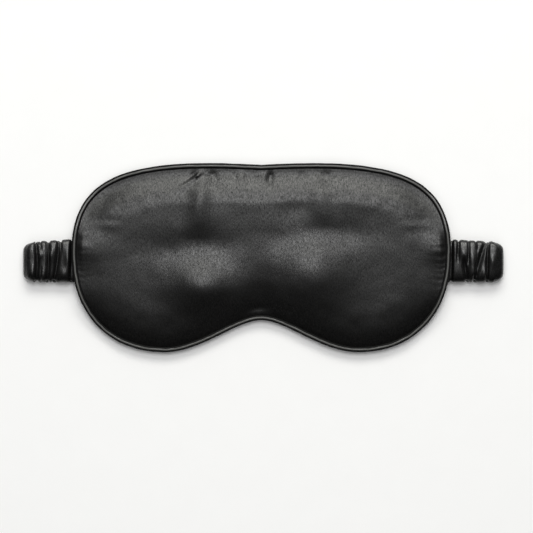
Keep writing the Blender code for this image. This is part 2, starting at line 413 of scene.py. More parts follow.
def panelSheet(spacing):
    # flat triangles in the outline: rings beside the seam, an even grid inside
    count = int(pad["ringLength"] / spacing)
    points, normals, _ = evenStations(count)
    depths = np.arange(0.0, pad["ringDepth"], spacing)
    rings = [points + normals * (pad["seamEdge"] + d) for d in depths]
    inner = points + normals * (pad["seamEdge"] + depths[-1] + spacing * 0.8)
    rowStep = spacing * pad["rowStep"]
    rows = int(mask["height"] / rowStep) + 2
    columns = int(mask["width"] / spacing) + 2
    grid = np.array([((c + 0.5 * (r % 2)) * spacing, r * rowStep)
                     for r in range(-rows // 2, rows // 2 + 1)
                     for c in range(-columns // 2, columns // 2 + 1)])
    grid = grid[insidePolygon(grid, inner)]
    everything = np.vstack(rings + [grid])
    result = geometry.delaunay_2d_cdt([Vector(p) for p in everything], [],
                                      [list(range(count))], 1, 1e-7)
    flat = np.array([tuple(v) for v in result[0]])
    return flat, [list(f) for f in result[2]]

def nearestEdge(points):
    # distance from the outline, and how far round the nearest place is
    ring, _, length = evenStations(1400)
    gap, place = np.empty(len(points)), np.empty(len(points))
    batch = 2000
    for start in range(0, len(points), batch):
        part = points[start:start + batch]
        gaps = ((part[:, None, :] - ring[None]) ** 2).sum(axis=2)
        gap[start:start + batch] = np.sqrt(gaps.min(axis=1))
        place[start:start + batch] = gaps.argmin(axis=1) * length / len(ring)
    return gap, place

def softNoise(points, scale, seed):
    return np.array([noise.fractal(Vector((p[0] / scale, p[1] / scale, seed)), 0.6, 2.0, 2)
                     for p in points])

class Film:
    # height of a film blown up in the outline, from 0 at the edge to 1
    def __init__(self, step, rounds, load):
        self.step = step
        self.nx = int(mask["width"] / step) + 5
        self.ny = int(mask["height"] / step) + 5
        x = (np.arange(self.nx) - self.nx // 2) * step
        y = (np.arange(self.ny) - self.ny // 2) * step
        gx, gy = np.meshgrid(x, y, indexing="ij")
        points, normals, _ = evenStations(400)
        seam = points + normals * (pad["seamEdge"] + 1.0 * mm)
        where = insidePolygon(np.stack([gx.ravel(), gy.ravel()], axis=1), seam)
        where = where.reshape(gx.shape)
        film = np.zeros_like(gx)
        for _ in range(rounds):
            around = (np.roll(film, 1, 0) + np.roll(film, -1, 0) + np.roll(film, 1, 1)
                      + np.roll(film, -1, 1)) / 4
            film = np.where(where, around + load, 0.0)
        self.film = film / film.max()

    def at(self, points):
        fx = np.clip(points[:, 0] / self.step + self.nx // 2, 0, self.nx - 2.001)
        fy = np.clip(points[:, 1] / self.step + self.ny // 2, 0, self.ny - 2.001)
        ix, iy = fx.astype(int), fy.astype(int)
        tx, ty = fx - ix, fy - iy
        f = self.film
        return ((f[ix, iy] * (1 - tx) + f[ix + 1, iy] * tx) * (1 - ty)
                + (f[ix, iy + 1] * (1 - tx) + f[ix + 1, iy + 1] * tx) * ty)

film = Film(step=1.0 * mm, rounds=2600, load=0.0011)
print("film solved")

def flatStrip(y):
    # width of the flat strip beside the seam, widest along the forehead
    top = smooth((y - 10 * mm) / (30 * mm))
    return pad["sideBand"] + (pad["topBand"] - pad["sideBand"]) * top

def frontCrown(p, gap):
    # the padding before its lobes and puckers
    seam = pipingLevel(p[:, 0], p[:, 1]) + pad["frontSeam"]
    band = flatStrip(p[:, 1])
    upper = smooth((p[:, 1] + 24 * mm) / (32 * mm))  # 0 by the cheeks, 1 by the strap and above
    width = pad["cheekRim"] + (pad["browRim"] - pad["cheekRim"]) * upper
    run = np.clip((gap - pad["seamEdge"] - band) / width, 0.0, 1.0)
    rolled = 1.0 - (1.0 - run) ** 2.2
    rim = rolled + (smooth(run) ** 0.9 - rolled) * upper
    dome = np.clip(film.at(p), 0.0, 1.0) ** 0.8 * smooth(run * 1.3)
    share = pad["cheekShare"] + (pad["browShare"] - pad["cheekShare"]) * upper
    return seam + (pad["crown"] - seam) * (share * rim + (1 - share) * dome)

def backCrown(p, gap):
    rise = pipingLevel(p[:, 0], p[:, 1]) - mask["pipingLevel"]
    seam = pad["backSeam"] + pad["backRise"] * rise / mask["sideRise"]
    dome = np.clip(film.at(p), 0.0, 1.0) ** 0.5
    overStrap = nearStrap(p[:, 1], 13.5 * mm, 17 * mm)
    floor = -pad["bulge"] + (pad["channel"] + pad["bulge"]) * overStrap
    height = seam + (floor - seam) * dome
    soft = pad["settle"]
    return soft * np.log1p(np.exp(np.clip(height / soft, -30, 30))) + pad["clearance"]

def blownPanel(crown, up, cap):
    # a sheet pinned along the seam and blown up by cloth simulation
    flat, faces = panelSheet(pad["clothSpacing"])
    gap, _ = nearestEdge(flat)
    seam = crown(flat, np.full(len(flat), pad["seamEdge"]))
    level = crown(flat, gap)
    start = np.column_stack([flat, seam + (level - seam) * pad["start"]])
    sheet = turnFaces(meshObject("fabric_sheet", start, faces, materials["panel"]), up)
    pinned = sheet.vertex_groups.new(name="seam")
    rim = np.nonzero(gap < pad["seamEdge"] + flatStrip(flat[:, 1]) + pad["pinned"])[0]
    pinned.add([int(v) for v in rim], 1.0, "REPLACE")
    blow = sheet.modifiers.new("blow", "CLOTH")
    blow.settings.quality = 6
    blow.settings.vertex_group_mass = "seam"
    blow.settings.use_pressure = True
    blow.settings.uniform_pressure_force = pad["pressure"]
    blow.settings.effector_weights.gravity = 0.0
    for step in range(1, pad["frames"] + 1):
        scene.frame_set(step)
    graph = bpy.context.evaluated_depsgraph_get()
    moved = np.empty(len(start) * 3, dtype=np.float32)
    sheet.evaluated_get(graph).data.vertices.foreach_get("co", moved)
    scene.frame_set(1)
    travel = moved.reshape(-1, 3) - start
    reach = np.linalg.norm(travel, axis=1)[:, None]
    travel *= np.minimum(1.0, cap / np.maximum(reach, 1e-9))
    sheet.modifiers.clear()
    sheet.data.vertices.foreach_set("co", (start + travel).astype(np.float32).ravel())
    rounder = sheet.modifiers.new("rounder", "SUBSURF")
    rounder.levels = rounder.render_levels = 2
    applied(sheet)
    tree = BVHTree.FromPolygons([v.co for v in sheet.data.vertices],
                                [list(f.vertices) for f in sheet.data.polygons])
    bpy.data.objects.remove(sheet, do_unlink=True)
    return tree

def panelLevel(tree, crown, p, gap):
    # the blown fabric's height, and the crown's own where the sheet's edge has none
    level = crown(p, gap)
    if tree is None:
        return level
    for k, (x, y) in enumerate(p):
        hit = tree.ray_cast(Vector((x, y, 1.0)), Vector((0, 0, -1)))
        if hit[0] is not None:
            inner = float(smooth((gap[k] - pad["seamEdge"]) / (2.0 * mm)))
            level[k] += (hit[0].z - level[k]) * inner
    return level

frontFabric = backFabric = None
frontFabric = blownPanel(frontCrown, True, pad["frontCap"])
backFabric = blownPanel(backCrown, False, pad["backCap"])
print("fabric blown up")

# the front's swellings and hollows: x, y, half width, half height and rise, in mm
lobes = (
    (-33.0, -16.4, 16.5, 12.6, 4.1),  # over the eyes
    (28.5, -9.9, 19.5, 19.0, 3.9),
    (-1, -28, 8, 17, -1.7),  # over the nose
    (17, 27, 12, 8, -0.5),
    (-19, -37, 13, 8, -0.7),  # under the eyes
    (18, -36, 13, 8, -0.6),
    (-99, 5, 10, 8, 1.1),  # lifted by the straps
    (99, 5, 10, 8, 1.1),
)

# folds from the forehead seam: x, lean, length, half width, widening and rise, in mm
puckers = (
    (-32.6, -1.10, 14, 1.3, 0.10, 2.1), (-36.2, -0.55, 18, 1.4, 0.12, -0.9),
    (-27.6, 0.30, 18, 2.4, 0.14, -0.9), (-11.0, 0.0, 15, 1.5, 0.14, 1.0),
    (2.2, -0.22, 14, 2.0, 0.10, 0.9), (5.2, -0.08, 13, 1.3, 0.08, -1.2),
    (36.0, 0.25, 14, 3.0, 0.10, -0.6), (22.5, 0.0, 14, 2.2, 0.10, -0.5),
)
pointedFolds = ((-32.7, -0.07, 38, 2.0, 0.17, 1.15), (30.2, 0.12, 32, 2.2, 0.17, 0.7))

surface = {  # in mm
    "foldStart": 48.5,  # where the folds start, from the middle of the mask
    "trough": 0.85,  # hollow between the forehead and the eyes
    "troughAt": 9.5,
    "troughHalf": 8,
    "noise": 0.12,
    "backNoise": 0.12,
    "seamClear": 3.4,  # no relief nearer to the outline than this
    "ripplePitch": 3.7,  # of the small folds along the seam
    "rippleWander": 1.6,
    "ripple": 0.08,
    "leftRipple": 0.65,  # more where the straps are sewn in
    "rightRipple": 0.95,
    "rippleRun": 2.3,
    "backRipple": 0.6,  # part of the front's
}

def seamFold(x, y, pointed, at, lean, length, width, spread, rise):
    # high at the forehead seam and dying out, or a point there and rising below it
    down = surface["foldStart"] - y
    t = np.clip(down / length, 0.0, 1.0)
    across = (x - at - lean * down) / (width + spread * np.maximum(down, 0.0))
    profile = np.sin(math.pi * t) if pointed else (1 - t) ** 1.3 * smooth((down + 1.5) / 4.5)
    return rise * np.exp(-across**2) * profile

def broadRelief(x, y):
    # lobes, hollows and the trough between the forehead and the eyes, in mm
    middle = surface["troughAt"] + 0.09 * x
    trough = bump(y, middle, surface["troughHalf"]) * smooth((85 - np.abs(x)) / 45)
    total = -surface["trough"] * trough * (1 - 0.8 * bump(x, -6, 14))
    for atX, atY, wide, high, rise in lobes:
        total += rise * bump(x, atX, wide) * bump(y, atY, high)
    return total

def frontRelief(p, gap, place):
    x, y = p[:, 0] / mm, p[:, 1] / mm
    total = broadRelief(x, y) + surface["noise"] * softNoise(p, 14 * mm, 3.1)
    for pointed, folds in ((False, puckers), (True, pointedFolds)):
        for numbers in folds:
            total += seamFold(x, y, pointed, *numbers)
    fade = 4.0 - 2.0 * smooth((np.abs(x) - 85) / 10)  # quicker beside the straps
    total *= smooth((gap / mm - surface["seamClear"]) / fade)
    return (total + seamRipple(x, y, gap / mm, place / mm)) * mm

def seamRipple(x, y, gap, place):
    # small folds square to the seam, deepest at the straps, in mm
    inward = gap - pad["seamEdge"] / mm
    wander = np.array([noise.noise(Vector((s / 14.0, 0.3, 1.7))) for s in place])
    phase = place / surface["ripplePitch"] + surface["rippleWander"] * wander
    fold = np.abs(np.sin(math.pi * phase)) ** 0.8 - 0.6
    level = y - mask["strapLevel"] / mm
    side = smooth((np.abs(x) - 80) / 15)
    atStrap = side * np.exp(-(((level - 3) / 12.5) ** 2))
    deepest = np.where(x > 0, surface["rightRipple"], surface["leftRipple"])
    strength = surface["ripple"] * (1 + np.abs(wander)) + deepest * atStrap
    run = surface["rippleRun"] + 0.7 * atStrap
    return strength * fold * smooth(inward / 0.8) * np.exp(-np.maximum(inward, 0.0) / run)

def frontHeights(p):
    gap, place = nearestEdge(p)
    return panelLevel(frontFabric, frontCrown, p, gap) + frontRelief(p, gap, place)

def backHeights(p):
    gap, place = nearestEdge(p)
    soft = surface["backNoise"] * softNoise(p, 9 * mm, 8.4) * smooth((gap - 5 * mm) / (4 * mm))
    ripple = surface["backRipple"] * seamRipple(p[:, 0] / mm, p[:, 1] / mm, gap / mm, place / mm)
    level = panelLevel(backFabric, backCrown, p, gap)
    return np.maximum(level + (soft + ripple) * mm, pad["lowest"])

def panel(name, heights, up):
    flat, faces = panelSheet(pad["fineSpacing"])
    points = np.column_stack([flat, heights(flat)])
    thing = turnFaces(meshObject(name, points, faces, materials["panel"]), up)
    cloth = thing.modifiers.new("cloth", "SOLIDIFY")
    cloth.thickness = pad["thickness"]
    cloth.offset = -1.0
    applied(thing)
    thing.data.set_sharp_from_angle(angle=math.radians(pad["sharpAngle"]))
    return thing

layers = {
    "spacing": 5.0 * mm,
    "thinnest": 0.3 * mm,
    "closing": 6 * mm,  # the pads close over this width beside the seam
    "fillingInset": 8.0 * mm,
    "underFront": 2.0 * mm,  # filling under the front, clear of the puckers
    "fillingAbove": 1.9 * mm,  # and over the back panel's outer face
    "liningInset": 3.0 * mm,
    "liningUnder": 0.8 * mm,  # lining over the back panel's outer face
    "liningTop": 1.3 * mm,
}

def innerPad(name, upper, above, material, inset):
    # a closed pad inside the seam, from above the back panel to an upper height
    flat, faces = panelSheet(layers["spacing"])
    gap, _ = nearestEdge(flat)
    moved = flat * (1.0 - 2 * inset / mask["width"], 1.0 - 2 * inset / mask["height"])
    top = upper(moved)
    bottom = np.minimum(backHeights(moved) + above, top - layers["thinnest"])
    close = 0.2 + 0.8 * smooth((gap - pad["seamEdge"]) / layers["closing"])
    middle = (top + bottom) / 2
    count = len(flat)
    vertices = np.vstack([np.column_stack([moved, middle + (top - middle) * close]),
                          np.column_stack([moved, middle + (bottom - middle) * close])])
    sides = [[a, b, b + count, a + count] for a, b in rimOf(faces)]
    under = [[v + count for v in reversed(f)] for f in faces]
    return turnFaces(meshObject(name, vertices, faces + under + sides, material))

def rimOf(faces):
    seen = {(a, b) for f in faces for a, b in zip(f, f[1:] + f[:1])}
    return [(a, b) for a, b in sorted(seen) if (b, a) not in seen]

def sewIn(thing, slot, *nodes):
    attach(thing, "mask")
    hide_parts(*nodes)

frontPanel = panel("front_satin", frontHeights, True)
backPanel = panel("back_satin", backHeights, False)
sewIn(frontPanel, "satin", "front_panel")
sewIn(backPanel, "satin", "back_panel")
print("panels made", len(frontPanel.data.polygons), len(backPanel.data.polygons))

def fillingTop(p):
    gap, _ = nearestEdge(p)
    return (panelLevel(frontFabric, frontCrown, p, gap) - layers["underFront"]
            + broadRelief(p[:, 0] / mm, p[:, 1] / mm) * mm * smooth((gap - 6 * mm) / (6 * mm)))

fillingPad = innerPad("filling_pad", fillingTop, layers["fillingAbove"],
                      materials["filling"], layers["fillingInset"])
liningSheet = innerPad("blackout_sheet", lambda p: backHeights(p) + layers["liningTop"],
                       layers["liningUnder"], materials["lining"], layers["liningInset"])
sewIn(fillingPad, "filling", "filling")
sewIn(liningSheet, "blackout_lining", "lining")
print("filling and lining made")

piping = {
    "stations": 720,
    "sides": 18,
    "flange": 6.0 * mm,
    "flangeHalf": 0.25 * mm,
    "wander": 0.10 * mm,  # unevenness of the sewn line
    "swell": 0.05,  # and of its thickness
    "cordRadius": 0.85 * mm,
    "cordSides": 12,
    "cordLay": 1.6 * mm,
    "plyDepth": 0.14,
    "uvStrip": 0.3 * mm,  # width in the UV map of the face that closes a section
}

def sweepOutline(name, section, material):
    # section(place, along) gives each point's depth, height and distance round
    stations = piping["stations"]
    points, normals, length = evenStations(stations)
    rows, uvs = [], []
    for i in range(stations + 1):
        k = i % stations
        shape = section(points[k], length * k / stations)
        if i < stations:
            rows += [(*(points[k] + normals[k] * depth), height) for depth, height, _ in shape]
        uvs.append([(length * i / stations, around) for _, _, around in shape])
    size = len(uvs[0])
    faces, faceUvs = [], []
    for i in range(stations):
        j = (i + 1) % stations
        for k in range(size):
            m = (k + 1) % size
            faces.append([i * size + k, i * size + m, j * size + m, j * size + k])
            near = uvs[i][k][1]
            far = uvs[i][m][1] if m else near + piping["uvStrip"]
            faceUvs += [(uvs[i][k][0], near), (uvs[i][k][0], far),
                        (uvs[i + 1][k][0], far), (uvs[i + 1][k][0], near)]
    return turnFaces(meshObject(name, rows, faces, material, faceUvs, perCorner=True))

def pipingSection(p, along):
    # the folded strip: round the cord, then back between the panels; 0 is its crest
    r = mask["pipingDiameter"] / 2
    level = pipingLevel(p[0], p[1])
    wobble = noise.noise(Vector((p[0] / (9 * mm), p[1] / (9 * mm), 0.4)))
    fuller = noise.noise(Vector((p[0] / (3.5 * mm), p[1] / (3.5 * mm), 5.2)))
    swollen = r * (1.0 + piping["swell"] * fuller)
    centre = r + piping["wander"] * wobble
    half = piping["flangeHalf"]
    mouth = math.asin(half / r)
    shape = []
    for n in range(piping["sides"] + 1):
        a = mouth + 2 * (math.pi - mouth) * n / piping["sides"]
        shape.append((centre + swollen * math.cos(a), level + swollen * math.sin(a),
                      r * (a - math.pi / 2)))
    deep = r + piping["flange"]
    distance = 1.5 * math.pi * r + piping["flange"]
    shape.append((deep, level - half, distance))
    shape.append((deep, level + half, distance + 2 * half))
    return shape

def cordSection(p, along):
    r = piping["cordRadius"]
    level = pipingLevel(p[0], p[1])
    shape = []
    for n in range(piping["cordSides"]):
        a = 2 * math.pi * n / piping["cordSides"]
        groove = abs(math.cos(1.5 * (a + along / piping["cordLay"])))  # between three plies
        reach = r * (1.0 - piping["plyDepth"] * groove)
        shape.append((mask["pipingDiameter"] / 2 + reach * math.cos(a),
                      level + reach * math.sin(a), a * r))
    return shape

pipingCover = sweepOutline("piping_satin_cover", pipingSection, materials["piping"])
pipingCord = sweepOutline("piping_filler_cord", cordSection, materials["cord"])
sewIn(pipingCover, "piping_satin", "piping_cover")
sewIn(pipingCord, "cotton_cord", "piping_cord")
print("piping made")

stitches = {
    "pitch": 2.6 * mm,
    "length": 2.0 * mm,
    "thickness": 0.38 * mm,
    "depth": 3.25 * mm,  # from the outline
    "above": 0.5 * mm,  # over the middle of the piping
    "turn": 0.06,
    "seed": 4,
    "stations": 360,  # along the seam
}

def seamCurve(name):
    points, normals, _ = evenStations(stitches["stations"])
    line = points + normals * stitches["depth"]
    curve = bpy.data.curves.new(name, "CURVE")
    curve.dimensions = "3D"
    spline = curve.splines.new("POLY")
    spline.points.add(len(line) - 1)
    for target, p in zip(spline.points, line):
        level = pipingLevel(p[0], p[1]) + stitches["above"]
        target.co = (p[0], p[1], float(level), 1.0)
    spline.use_cyclic_u = True
    return inScene(name, curve)

def stitchTree():
    # one stitch on each point of a curve resampled at the pitch
    tree = bpy.data.node_groups.new("runningStitch", "GeometryNodeTree")
    face = tree.interface
    face.new_socket("Seam", in_out="INPUT", socket_type="NodeSocketGeometry")
    face.new_socket("Stitches", in_out="OUTPUT", socket_type="NodeSocketGeometry")
    sockets = {}
    for name, kind in (("Pitch", "Float"), ("Length", "Float"), ("Thickness", "Float"),
                       ("Turn", "Float"), ("Seed", "Int"), ("Material", "Material")):
        made = face.new_socket(name, in_out="INPUT", socket_type=f"NodeSocket{kind}")
        sockets[name] = made.identifier
    nodes = Nodes(tree)
    entry = tree.nodes.new("NodeGroupInput")
    given = {s.name: Value(nodes, s) for s in entry.outputs if s.name}
    spaced = nodes.add("GeometryNodeResampleCurve", {"mode": "LENGTH"},
                       {"Curve": given["Seam"], "Length": given["Pitch"]})
    tangent = nodes.add("GeometryNodeInputTangent")
    facing = nodes.add("FunctionNodeAlignRotationToVector", {"axis": "Z"}, {"Vector": tangent})
    jitter = nodes.add("FunctionNodeRandomValue", {"data_type": "FLOAT"},
                       {"Min": given["Turn"] * -1.0, "Max": given["Turn"],
                        "Seed": given["Seed"]}, output=1)
    tilt = nodes.add("FunctionNodeEulerToRotation", {},
                     {0: nodes.add("ShaderNodeCombineXYZ", {}, {"X": jitter, "Y": jitter})})
    turned = nodes.add("FunctionNodeRotateRotation", {"rotation_space": "LOCAL"},
                       {"Rotation": facing, "Rotate By": tilt})
    stitch = nodes.add("GeometryNodeMeshUVSphere", {},
                       {"Segments": 8, "Rings": 6, "Radius": 0.5})
    sized = nodes.add("ShaderNodeCombineXYZ", {},
                      {"X": given["Thickness"], "Y": given["Thickness"], "Z": given["Length"]})
    placed = nodes.add("GeometryNodeInstanceOnPoints", {},
                       {"Points": spaced, "Instance": stitch, "Rotation": turned,
                        "Scale": sized})
    real = nodes.add("GeometryNodeRealizeInstances", {}, {"Geometry": placed})
    smoothed = nodes.add("GeometryNodeSetShadeSmooth", {}, {"Geometry": real})
    dressed = nodes.add("GeometryNodeSetMaterial", {},
                        {"Geometry": smoothed, "Material": given["Material"]})
    nodes.link(dressed, tree.nodes.new("NodeGroupOutput").inputs[0])
    return tree, sockets

def sewSeam(name):
    line = seamCurve("seam_line")
    tree, sockets = stitchTree()
    sewing = line.modifiers.new("sewing", "NODES")
    sewing.node_group = tree
    sewing[sockets["Material"]] = materials["thread"]
    for key in ("pitch", "length", "thickness", "turn", "seed"):
        sewing[sockets[key.capitalize()]] = stitches[key]
    graph = bpy.context.evaluated_depsgraph_get()
    mesh = bpy.data.meshes.new_from_object(line.evaluated_get(graph), depsgraph=graph)
    bpy.data.objects.remove(line, do_unlink=True)
    return inScene(name, mesh)

seamStitches = sewSeam("seam_stitches")
sewIn(seamStitches, "thread", "seam_thread")
print("stitches made", len(seamStitches.data.polygons))

strap = {
    "sideLevel": 5.7 * mm,
    "rearLevel": 1.7 * mm,
    "tail": 98.0 * mm,  # hidden start of the strap, from the middle
    "foldX": 131.5 * mm,
    "foldRadius": 2.0 * mm,
    "turnSteps": 19,
    "rearStart": 6.5 * mm,  # the back's creases start this far past the turn
    "middle": 0.35 * mm,
    "wall": 0.4 * mm,
    "step": 0.36 * mm,
    "faceColumns": 19,
    "valley": 0.85 * mm,  # from the middle of the strap to the bottom of a crease
    "ridge": 2.7 * mm,  # and to the top of a fold
    "underRidge": 1.60 * mm,
    "pressed": 0.68 * mm,  # from the middle where it goes in at the seam
    "pressedTo": 103.6 * mm,
    "opening": 4.0 * mm,  # it opens out over this length
    "bottomHalf": 11.7 * mm,
    "topHalf": (11.2 * mm, 11.4 * mm, 9.9 * mm, 10.5 * mm),
    "topHalfAt": (98 * mm, 106 * mm, 131 * mm, 142 * mm),
    "scallop": 1.8 * mm,
    "cornerRadius": 4.0 * mm,
    "elasticHalf": 8.0 * mm,
    "elasticThick": 0.6 * mm,
    "elasticSharp": 40,  # in degrees
    "sideCut": 119.5 * mm,  # where the first length ends
    "hingeTurn": 129.7 * mm,  # start of a turn whose hinges lie at the places given below
}

turnX = {"left": 128.3 * mm, "right": 130.6 * mm}  # where each strap starts to turn back

# creases over the sides: place from the mask's middle, lean to the forehead edge and bow in mm,
# depth, half width in mm, and the part of the width that they cross
sideCreases = {
    "left": ((105.4, -0.4, 0.0, 0.7, 1.6, -1, 1), (110.9, 0.4, 0.0, 0.7, 1.2, 0.6, 1.4),
             (113.4, -1.4, 0.7, 1.0, 2.1, -1, 1), (118.4, 0.0, 0.6, 0.95, 1.8, -1, 1),
             (116.4, 1.6, 0.0, 0.5, 1.3, 0.6, 1.4), (121.2, 1.6, 0.0, 0.5, 1.3, 0.6, 1.4),
             (124.6, 0.1, 0.6, 1.0, 2.0, -1, 1), (121.8, -0.8, 0.0, 0.4, 1.2, -1.4, -0.5),
             (129.6, 0.0, 0.3, 0.3, 1.6, -1, 1)),
    "right": ((105.6, 0.2, 0.0, 0.7, 1.6, -1, 1), (109.0, 0.6, 0.0, 0.7, 1.5, 0.2, 1.4),
              (115.0, 0.2, 0.0, 0.7, 1.1, 0.0, 0.9), (112.6, -1.6, 0.0, 0.9, 2.3, -1.4, -0.1),
              (121.4, 3.2, 0.2, 1.0, 2.1, -1, 1), (125.6, 0.3, 0.2, 1.0, 1.5, -1, 1),
              (120.2, -1.0, 0.0, 0.4, 1.2, 0.7, 1.4), (131.4, 0.3, 0.2, 0.3, 1.6, -1, 1)),
}

# puffs between the gathers: place along and across, half length, half width, height
puffs = {
    "left": ((107.3, 0.0, 2.0, 0.45, 0.7), (109.8, -0.75, 2.2, 0.38, 1.1),
             (116.6, 0.25, 1.7, 0.3, 0.9), (122.5, 0.35, 1.5, 0.3, 0.9),
             (121.5, -0.85, 1.6, 0.35, 1.0), (127.0, -0.7, 1.5, 0.35, 1.0)),
    "right": ((112.5, 0.3, 2.4, 0.32, 1.0), (117.2, 0.1, 2.4, 0.4, 1.1),
              (117.6, -0.6, 2.3, 0.4, 1.1), (124.0, -0.75, 1.8, 0.35, 1.0),
              (128.5, -0.1, 1.5, 0.3, 0.8)),
}

def puffed(word, s, v):
    # s: place along the strap in mm; v: over its width, -1 to 1
    total = np.zeros_like(v)
    for at, across, run, wide, height in puffs[word]:
        total += height * bump(s, at, run) * bump(v, across, wide)
    return total * mm

def strapPath(word):
    # the strap's middle line: distance out and height
    turn, r = turnX[word], strap["foldRadius"]
    high, low = strap["sideLevel"], strap["rearLevel"]
    out = np.arange(strap["tail"], turn, strap["step"])
    arc = np.linspace(0.0, math.pi, strap["turnSteps"])[1:-1]
    back = np.append(np.arange(turn, strap["middle"], -strap["step"]), strap["middle"])
    x = np.concatenate([out, turn + r * np.sin(arc), back])
    z = np.concatenate([np.full(len(out), high),
                        (high + low) / 2 + (high - low) / 2 * np.cos(arc),
                        np.full(len(back), low)])
    turning = np.concatenate([np.zeros(len(out)), np.sin(arc), np.zeros(len(back))])
    return np.stack([x, z], axis=1), turning

def tangents(path):
    along = np.gradient(path, axis=0)
    return along / np.linalg.norm(along, axis=1)[:, None]

def rearCreases(word, first, last):
    # creases at uneven places round the turn and along the back
    pick = random.Random(word)
    made, at = [], first
    while at < last:
        made.append((at, pick.uniform(-1.8, 1.8), pick.uniform(-0.8, 0.8),
                     pick.uniform(0.6, 1.0), pick.uniform(2.0, 3.0), -1, 1))
        low = pick.choice((-1.4, 0.3))
        made.append((at + pick.uniform(1.5, 3.5), pick.uniform(-1.5, 1.5), 0.0,
                     pick.uniform(0.4, 0.7), pick.uniform(1.1, 1.6), low, low + 1.1))
        at += pick.uniform(4.4, 7.2)
    return made

def fullness(s, v, creases):
    # 0 in the bottom of a crease and 1 on top of a fold
    full = np.ones_like(v)
    fade = 0.25  # the ends of a crease, in half widths of the strap
    for at, lean, bow, depth, width, low, high in creases:
        if abs(s - at) > width + abs(lean) + abs(bow) + 1.0:
            continue
        away = np.abs(s - at - lean * v - bow * (v * v - 0.4))
        within = smooth((v - low + fade) / fade) * smooth((high + fade - v) / fade)
        side = np.clip(1.0 - away / width, 0.0, 1.0)
        full = full * (1.0 - depth * within * side**1.8)
    return full

def strapRings(word, side):
    # the tube's outer and inner rings of points along the path
    path, turning = strapPath(word)
    tangent = tangents(path)
    normal = np.stack([-tangent[:, 1], tangent[:, 0]], axis=1)  # to the outer face
    steps = np.linalg.norm(np.diff(path, axis=0), axis=1)
    length = strap["tail"] + np.concatenate([[0.0], np.cumsum(steps)])
    turnEnd = (turnX[word] + strap["rearStart"]) / mm
    creases = list(sideCreases[word]) + rearCreases(word, turnEnd, length[-1] / mm)
    face = np.sin(np.linspace(-math.pi / 2, math.pi / 2, strap["faceColumns"]))
    v = np.concatenate([face[::-1], face[1:-1]])
    outside = np.concatenate([np.ones(len(face)), -np.ones(len(face) - 2)])
    body = np.sqrt(np.maximum(1.0 - np.abs(v) ** 5, 0.0)) * outside
    seed = 2.3 if side < 0 else 9.1
    outer, inner = [], []
    for i, ((x, z), s) in enumerate(zip(path, length / mm)):
        small = np.array([noise.fractal(Vector((s / 3.6, w * 2.8 + (0 if o > 0 else 9), seed)),
                                        0.7, 2.0, 3) for w, o in zip(v, outside)])
        full = np.clip(fullness(s, v, creases) + 0.05 * small, 0.0, 1.05)
        turned = float(smooth((s - turnX[word] / mm) / 6.0))
        ridge = strap["ridge"] + (strap["underRidge"] - strap["ridge"]) * turned
        reach = strap["valley"] + (ridge - strap["valley"]) * full
        under = strap["valley"] + (strap["underRidge"] - strap["valley"]) * full
        reach = reach + puffed(word, s, v) * full * (1.0 - turned)
        reach = np.where(outside > 0, reach, under * (1 - 0.45 * turning[i]))
        if z > strap["sideLevel"] - 0.1 * mm:  # pressed flat where it goes in at the seam
            opened = float(smooth((x - strap["pressedTo"]) / strap["opening"]))
            reach = strap["pressed"] + (reach - strap["pressed"]) * opened
        wave = strap["scallop"] * (full - 0.75) * np.abs(v) ** 6
        topHalf = np.interp(s * mm, strap["topHalfAt"], strap["topHalf"])
        half = np.where(v > 0, topHalf, strap["bottomHalf"])
        y = v * (half + wave)
        r = strap["cornerRadius"]
        corner = np.clip((np.abs(y) - half + r) / r, 0.0, 1.0)
        pulled = r * (1 - np.sqrt(np.maximum(1 - corner**2, 0.0)))
        nearEnd = float(smooth((x - turnX[word] + 2.5 * mm) / (4.5 * mm)))
        rings = []
        for gone in (0.0, strap["wall"]):
            off = body * np.maximum(reach - gone, 0.3 * mm)
            px = x + normal[i, 0] * off - pulled * nearEnd
            py = mask["strapLevel"] + y * (1 - gone / strap["bottomHalf"])
            rings.append(np.column_stack([side * px, py, z + normal[i, 1] * off]))
        outer.append(rings[0])
        inner.append(rings[1])
    return path, length, np.array(outer), np.array(inner)

def tubePiece(name, rings, first, last):
    _, length, outer, inner = rings
    count, size = last - first + 1, outer.shape[1]
    vertices = np.vstack([outer[first:last + 1].reshape(-1, 3),
                          inner[first:last + 1].reshape(-1, 3)])
    around = np.concatenate([[0.0], np.cumsum(np.linalg.norm(
        np.diff(outer[first], axis=0), axis=1))])
    uvs = [(length[first + i], around[k]) for i in range(count) for k in range(size)] * 2
    faces = []
    deep = count * size
    for k in range(size):
        m = (k + 1) % size
        for i in range(count - 1):
            a, b, c, d = i * size + k, i * size + m, (i + 1) * size + m, (i + 1) * size + k
            faces.append([a, b, c, d])
            faces.append([a + deep, d + deep, c + deep, b + deep])
        end = (count - 1) * size
        faces.append([k, k + deep, m + deep, m])
        faces.append([end + k, end + m, end + m + deep, end + k + deep])
    return turnFaces(meshObject(name, vertices, faces, materials["ruched"], uvs))

def elasticPiece(name, path, side, first, last):
    # the flat band inside the tube, over the same length of it
    half, thick = strap["elasticHalf"], strap["elasticThick"] / 2
    vertices = []
    for (x, z), (tx, tz) in zip(path[first:last + 1], tangents(path)[first:last + 1]):
        for y, off in ((half, thick), (-half, thick), (-half, -thick), (half, -thick)):
            vertices.append((side * (x - tz * off), mask["strapLevel"] + y, z + tx * off))
    count = last - first + 1
    faces = [[i * 4 + k, i * 4 + (k + 1) % 4, i * 4 + 4 + (k + 1) % 4, i * 4 + 4 + k]
             for i in range(count - 1) for k in range(4)]
    faces += [[3, 2, 1, 0], [count * 4 - 4 + k for k in range(4)]]
    thing = turnFaces(meshObject(name, vertices, faces, materials["elastic"]))
    thing.data.set_sharp_from_angle(angle=math.radians(strap["elasticSharp"]))
    return thing

